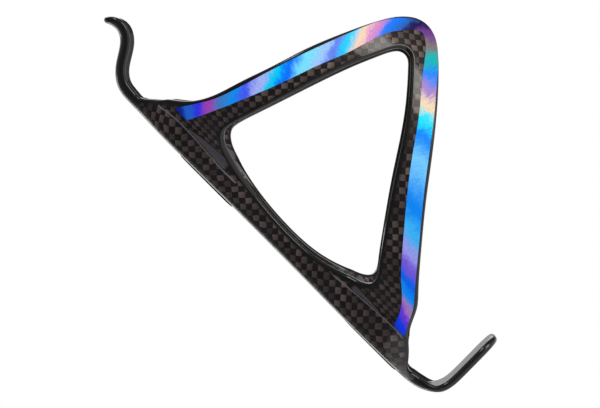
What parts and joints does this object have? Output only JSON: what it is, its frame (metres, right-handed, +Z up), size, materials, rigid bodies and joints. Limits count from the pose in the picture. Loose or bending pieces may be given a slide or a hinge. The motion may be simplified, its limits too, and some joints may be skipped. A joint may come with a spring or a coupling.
{
  "type": "bicycle water bottle cage",
  "caption": "Carbon-laminate bottle cage: channel spine with two bolt slots, V-shaped wings round the bottle, a top hook and a foot, with a foil stripe on each wing.",
  "frame": {"origin": "on the mounting face, half-way between the two bolt slots", "axes": "+Z up along the spine towards the hook, +Y out of the mounting face into the bicycle's tube, so the bottle is at -Y; X across, symmetric about X = 0"},
  "size_m": [0.0766, 0.0736, 0.1402],
  "materials": {
    "woven_carbon": "woven carbon under gloss clear coat",
    "plain_carbon": "plain black carbon under gloss clear coat",
    "mounting_pad": "fine matt resin",
    "foil": "iridescent holographic foil"
  },
  "bodies": {
    "cage": {"spine": "woven_carbon", "upper_mounting_pad": "mounting_pad", "lower_mounting_pad": "mounting_pad", "bottom_foot": "plain_carbon"},
    "hook": {"top_hook": "plain_carbon"},
    "left_arm": {"left_wing": "woven_carbon", "left_stripe": "foil"},
    "right_arm": {"right_wing": "woven_carbon", "right_stripe": "foil"}
  },
  "joints": [
    {"name": "left_wing_flex", "type": "hinge", "parent": "cage", "child": "left_arm", "pos_m": [-0.0168, -0.0085, 0], "axis": [0, 0, -1], "range_deg": [0, 5], "stiffness_Nm_per_rad": 8},
    {"name": "right_wing_flex", "type": "hinge", "parent": "cage", "child": "right_arm", "pos_m": [0.0168, -0.0085, 0], "axis": [0, 0, 1], "range_deg": [0, 5], "stiffness_Nm_per_rad": 8},
    {"name": "top_hook_flex", "type": "hinge", "parent": "cage", "child": "hook", "pos_m": [0, -0.002, 0.0605], "axis": [-1, 0, 0], "range_deg": [0, 6], "stiffness_Nm_per_rad": 4}
  ]
}
